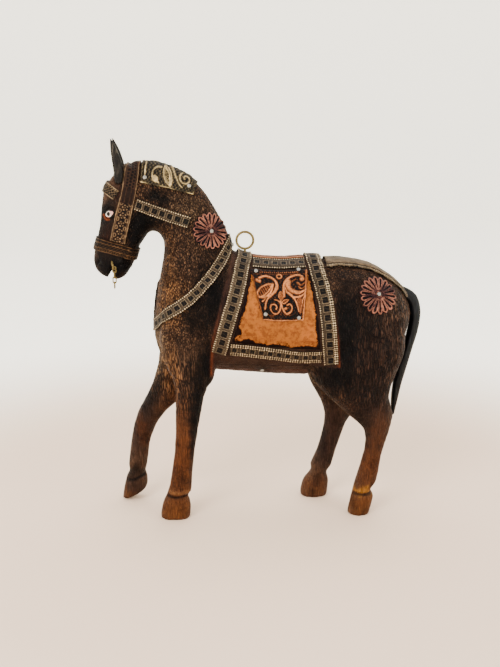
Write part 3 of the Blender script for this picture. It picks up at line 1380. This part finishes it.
class HORSE_OT_saddle_plates(Operator):
    """The embossed plates nailed on the saddle panels"""

    bl_idname = "horse.saddle_plates"
    bl_label = "Saddle plates"

    def execute(self, context):
        sizes = context.scene.horse_sizes
        for side, turn in sides():
            grid, u, v = patch_grid([turn(row) for row in SADDLE_PLATE])
            emboss(f"saddle_plate_sheet_{side}", f"saddle_plate_{side}", copper_finish(),
                   "copper", grid, 1.4 * saddle_plate_relief(u * 100, v * 100),
                   lift=sizes.sheet_lift + sizes.sheet_thickness, full=1.3, bite=1.35,
                   bright=0.92 + 0.16 * np.sin(u * 11 + 3 * v) * np.cos(v * 9 - 2 * u))
        return {"FINISHED"}


class HORSE_OT_seat(Operator):
    """The sheet on the seat"""

    bl_idname = "horse.seat"
    bl_label = "Seat sheet"

    def execute(self, context):
        grid, _, v = patch_grid(SEAT)
        height = 0.3 * ridge(np.minimum(v, 1 - v) - 0.06, 0.04) + 0.2
        emboss("seat_sheet_copper", "seat_sheet", copper_finish(), "copper", grid, height)
        return {"FINISHED"}


class HORSE_OT_crupper(Operator):
    """The wide strap over the croup, forked round the tail"""

    bl_idname = "horse.crupper"
    bl_label = "Crupper"

    def execute(self, context):
        sizes = context.scene.horse_sizes
        grey = once("crupper_metal", metal, srgb(26, 20, 15), srgb(146, 120, 90),
                    srgb(196, 168, 130), blotches=0.7, scale=120.0, shine=0.5,
                    edge=(srgb(8, 6, 6), 0.4))

        def width(v):
            return sizes.crupper + (sizes.crupper_tail - sizes.crupper) * v

        grid, s, t, w = strap_grid(CRUPPER, width)
        inside = w / 2 - np.abs(s)
        height = 0.26 + 0.24 * beads(inside, t, 1.5, 1.9, 0.7) - 0.2 * ridge(inside - 2.7, 0.5)
        lift = CRUPPER_LIFT * np.clip(inside / 4, 0, 1)
        emboss("crupper_sheet", "crupper_strap", grey, "aged_brass", grid, height, lift,
               marks={"edge": inside})
        return {"FINISHED"}


class HORSE_OT_rosettes(Operator):
    """The petalled rosettes on the neck and the hips"""

    bl_idname = "horse.rosettes"
    bl_label = "Rosettes"

    def execute(self, context):
        sizes = context.scene.horse_sizes
        for place, radius in (("neck", sizes.neck_rosette), ("hip", sizes.hip_rosette)):
            for side, _ in sides():
                node = f"{place}_rosette_{side}"
                low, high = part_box(f"{place}_rosette_nail_{side}")
                lay_rosette(f"{node}_sheet", node, (low + high) / 2, radius)
        return {"FINISHED"}


def lay_rosette(name, node, hub, radius):
    sizes = bpy.context.scene.horse_sizes
    petals = sizes.petals
    hub, up = Carving.nearest(hub)
    turn = up.to_track_quat("Z", "X").to_matrix()
    bm = bmesh.new()
    bmesh.ops.create_grid(bm, x_segments=petals * 10, y_segments=36, size=0.5)
    layer = bm.verts.layers.float.new("relief")
    rise = sizes.sheet_lift + sizes.sheet_thickness
    for vert in bm.verts:
        angle = 2 * math.pi * (vert.co.x + 0.5)
        share = vert.co.y + 0.5
        wave = 0.5 + 0.5 * math.cos(petals * angle)
        off = (angle * petals / (2 * math.pi) + 0.5) % 1 - 0.5
        aside = off * 2 * math.pi / petals * share * radius / MM
        height = rosette_height(share * radius / MM, radius / MM, aside, petals)
        reach = share * radius * (1 - 0.05 * (1 - wave) * share)
        flat = Vector((math.cos(angle), math.sin(angle), 0)) * reach
        spot, normal = Carving.below(hub + turn @ flat, up)
        vert.co = spot + (normal + up).normalized() * (rise + height * MM)
        left = 0.84 + 0.16 * math.sin(2 * angle + 1) + 0.12 * math.sin(5 * angle + 6 * share)
        vert[layer] = height * left
    bmesh.ops.remove_doubles(bm, verts=bm.verts, dist=1e-5)
    bm.normal_update()
    bm.faces.ensure_lookup_table()
    if bm.faces[len(bm.faces) // 2].normal.dot(up) < 0:
        bmesh.ops.reverse_faces(bm, faces=bm.faces)
    sheet(name, bm, rosette_finish(), "copper", node)


def rosette_height(out, radius, aside, petals):
    """Height over a rosette, 0 to 1: a ring round the nail, a smooth disc, and petals of
    raised wire with sunk gaps and round tips. Lengths are in millimetres."""
    spread = math.pi / petals
    tip = radius * 0.84
    half = spread * min(out, tip)
    if out < 0.2 * radius:
        return 0.3 + 0.4 * max(0, 1 - ((out - 0.15 * radius) / 0.6) ** 2)
    if out < 0.34 * radius:
        return 0.62
    far = abs(math.hypot(aside, max(0.0, out - tip)) - 0.7 * half)
    wire = max(0.0, 1 - (far / (0.46 * half)) ** 2)
    return wire * (0.6 + 0.4 * out / radius)


def nail_shape(name, node, finish):
    """A worn nail head, domed and a little out of round, where the solid's nail sits."""
    low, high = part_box(node)
    centre = (low + high) / 2
    spot, up = Carving.nearest(centre)
    sizes = bpy.context.scene.horse_sizes
    radius = sizes.nail_radius
    stand = sizes.sheet_lift + sizes.sheet_thickness + sizes.nail_stand
    centre = centre + up * max(0.0, stand - (centre - spot).dot(up))
    bm = bmesh.new()
    bmesh.ops.create_uvsphere(bm, u_segments=24, v_segments=14, radius=1.0)
    turn = up.to_track_quat("Z", "Y").to_matrix().to_4x4()
    for vert in bm.verts:
        angle = math.atan2(vert.co.y, vert.co.x)
        wobble = 1 + 0.04 * math.sin(3 * angle + centre.x * 900) + 0.03 * math.sin(5 * angle)
        flat = 0.5 if vert.co.z > 0 else 0.3
        vert.co = Vector((vert.co.x * wobble, vert.co.y * wobble, vert.co.z * flat)) * radius
    bm.transform(Matrix.Translation(centre) @ turn)
    dress(finished(name, bm, finish), "nail_steel", node)


class HORSE_OT_nails(Operator):
    """The nail heads"""

    bl_idname = "horse.nails"
    bl_label = "Nails"

    def execute(self, context):
        c = context.scene.horse_colours
        steel = once("nail_metal", metal, srgb(60, 54, 50), c.steel, srgb(214, 208, 198),
                     scale=500.0, relief=0.85, shine=0.3, wear=0.2)
        for node in sorted(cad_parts):
            if "nail" in node:
                nail_shape(f"{node}_head", node, steel)
        return {"FINISHED"}


class HORSE_OT_ears_tail(Operator):
    """The ears and the tail"""

    bl_idname = "horse.ears_tail"
    bl_label = "Ears and tail"

    def execute(self, context):
        c = context.scene.horse_colours
        grey = once("ear_paint", painted_wood, c.ear, srgb(150, 138, 122), 620.0, 0.45)
        black = once("tail_lacquer", painted_wood, c.tail, srgb(40, 42, 50), 420.0, 0.3, 0.12)
        for name, node, finish, slot, cell in (
            ("ear_carved_left", "ear_left", grey, "grey_black_wood", 0.0005),
            ("ear_carved_right", "ear_right", grey, "grey_black_wood", 0.0005),
            ("tail_carved", "tail", black, "gloss_black_wood", 0.0008),
        ):
            dress(smooth_copy(name, node, finish, cell, 10), slot, node)
        return {"FINISHED"}


# The ironwork's mesh spacing, and how much fuller each piece's wire is than its solid
IRON_CELL = 0.00024
FULLER = {"back_ring": 0.0003, "mouth_staple": 0.0002, "mouth_chain": 0.0001}


class HORSE_OT_ironwork(Operator):
    """The hanging ring, the staple and the end of chain"""

    bl_idname = "horse.ironwork"
    bl_label = "Ring, staple and chain"

    def execute(self, context):
        dark = once("ring_brass", metal, srgb(44, 36, 24), srgb(122, 100, 58),
                    srgb(206, 176, 108), relief=0.6, blotches=0.7, scale=330.0, shine=0.3,
                    wear=0.3)
        for node, fuller in FULLER.items():
            dress(smooth_copy(f"{node}_wire", node, dark, IRON_CELL, 3, fuller),
                  "aged_brass", node)
        return {"FINISHED"}


# The backdrop in metres: the floor's radius, its curve up to the wall and the wall's top
FLOOR_RADIUS, FLOOR_CURVE, WALL_TOP = 2.2, 0.7, 2.6
# Lamps: place and size in metres, power in watts
LAMPS = {
    "key": ((-0.9, -1.4, 1.5), 1.2, 46),
    "fill": ((1.3, -1.0, 0.9), 1.4, 12),
    "top": ((0.1, 0.6, 1.7), 1.6, 30),
}
LAMP_AIM = Vector((0, 0, 0.15))
# The photograph's viewpoint: its place, and degrees toward the head and downward
CAMERA_PLACE = (-34.38, -721.53, 314.59)
CAMERA_YAW, CAMERA_PITCH = 3.0, 13.0953


class HORSE_OT_stage(Operator):
    """Floor with a backdrop, soft lights and the camera"""

    bl_idname = "horse.stage"
    bl_label = "Stage"

    def execute(self, context):
        floor = backdrop(stage_paper(context.scene.horse_colours))
        for name, (place, size, power) in LAMPS.items():
            lamp = bpy.data.lights.new(name, "AREA")
            lamp.shape = "DISK"
            lamp.size = size
            lamp.energy = power
            put(name, lamp, place, LAMP_AIM - Vector(place))
        world = context.scene.world or bpy.data.worlds.new("soft_room")
        context.scene.world = world
        world.use_nodes = True
        ground = world.node_tree.nodes["Background"]
        ground.inputs["Color"].default_value = (*srgb(236, 235, 232, 1.0), 1)
        ground.inputs["Strength"].default_value = 0.9
        lens = bpy.data.cameras.new("camera")
        lens.lens = 50.0
        lens.sensor_width = 36.0
        lens.clip_start = 0.05
        lens.clip_end = 20.0
        yaw, pitch = math.radians(CAMERA_YAW), math.radians(CAMERA_PITCH)
        level = Vector((math.sin(yaw), math.cos(yaw), 0)) * math.cos(pitch)
        way = level - Vector((0, 0, math.sin(pitch)))
        context.scene.camera = put("camera", lens, at(*CAMERA_PLACE), way)
        return {"FINISHED"}


def put(name, data, place, way):
    """A lamp or camera at a place, looking one way."""
    obj = bpy.data.objects.new(name, data)
    bpy.context.scene.collection.objects.link(obj)
    obj.location = place
    obj.rotation_euler = way.to_track_quat("-Z", "Y").to_euler()
    return obj


def stage_paper(colours):
    """Pale paper, beige under the horse and grey farther off."""
    made, w, shader = new_material("stage_paper")
    away = w.add("ShaderNodeVectorMath", {0: w.object_place()}, operation="LENGTH")
    rise = w.span(away.outputs["Value"], 0.24, 0.62)
    w.feed(shader.inputs["Base Color"], w.mix(rise, colours.floor, colours.wall))
    w.feed(shader.inputs["Emission Color"], w.mix(rise, (0, 0, 0), colours.wall))
    w.feed(shader.inputs["Emission Strength"], 0.95)
    w.feed(shader.inputs["Roughness"], 0.9)
    return made


def backdrop(finish):
    """A round floor that curves up to a wall, spun from its profile."""
    profile = [(0, 0), (FLOOR_RADIUS, 0)]
    for k in range(1, 13):
        turn = math.pi / 2 * k / 12
        out = FLOOR_RADIUS + FLOOR_CURVE * math.sin(turn)
        profile.append((out, FLOOR_CURVE * (1 - math.cos(turn))))
    profile.append((FLOOR_RADIUS + FLOOR_CURVE, WALL_TOP))
    bm = bmesh.new()
    line = [bm.verts.new((out, 0, up)) for out, up in profile]
    edges = [bm.edges.new(pair) for pair in zip(line, line[1:])]
    bmesh.ops.spin(bm, geom=line + edges, cent=(0, 0, 0), axis=(0, 0, 1),
                   angle=2 * math.pi, steps=96, use_merge=True)
    bmesh.ops.remove_doubles(bm, verts=bm.verts, dist=1e-5)
    bmesh.ops.recalc_face_normals(bm, faces=bm.faces)
    return finished("backdrop", bm, finish)


STEPS = (
    HORSE_OT_carving, HORSE_OT_ears_tail, HORSE_OT_eyes, HORSE_OT_head_trim,
    HORSE_OT_mane_plate, HORSE_OT_collar, HORSE_OT_saddle_bands, HORSE_OT_saddle_panels,
    HORSE_OT_saddle_plates, HORSE_OT_seat, HORSE_OT_crupper, HORSE_OT_rosettes,
    HORSE_OT_nails, HORSE_OT_ironwork, HORSE_OT_stage,
)


class HORSE_PT_sidebar(Panel):
    """Lists the horse's pieces in the sidebar"""

    bl_idname = "HORSE_PT_sidebar"
    bl_label = "Carved horse"
    bl_space_type = "VIEW_3D"
    bl_region_type = "UI"
    bl_category = "Horse"

    def draw(self, context):
        for step in STEPS:
            self.layout.operator(step.bl_idname)
        for group in (context.scene.horse_sizes, context.scene.horse_colours):
            box = self.layout.box()
            for key in group.bl_rna.properties.keys():
                if key not in ("rna_type", "name"):
                    box.prop(group, key)


CLASSES = (HorseSizes, HorseColours, *STEPS, HORSE_PT_sidebar)


def register():
    for item in CLASSES:
        bpy.utils.register_class(item)
    bpy.types.Scene.horse_sizes = PointerProperty(type=HorseSizes)
    bpy.types.Scene.horse_colours = PointerProperty(type=HorseColours)


def unregister():
    del bpy.types.Scene.horse_sizes
    del bpy.types.Scene.horse_colours
    for item in reversed(CLASSES):
        bpy.utils.unregister_class(item)


def main():
    register()
    for step in STEPS:
        group, name = step.bl_idname.split(".")
        getattr(getattr(bpy.ops, group), name)()


if __name__ == "__main__":
    main()
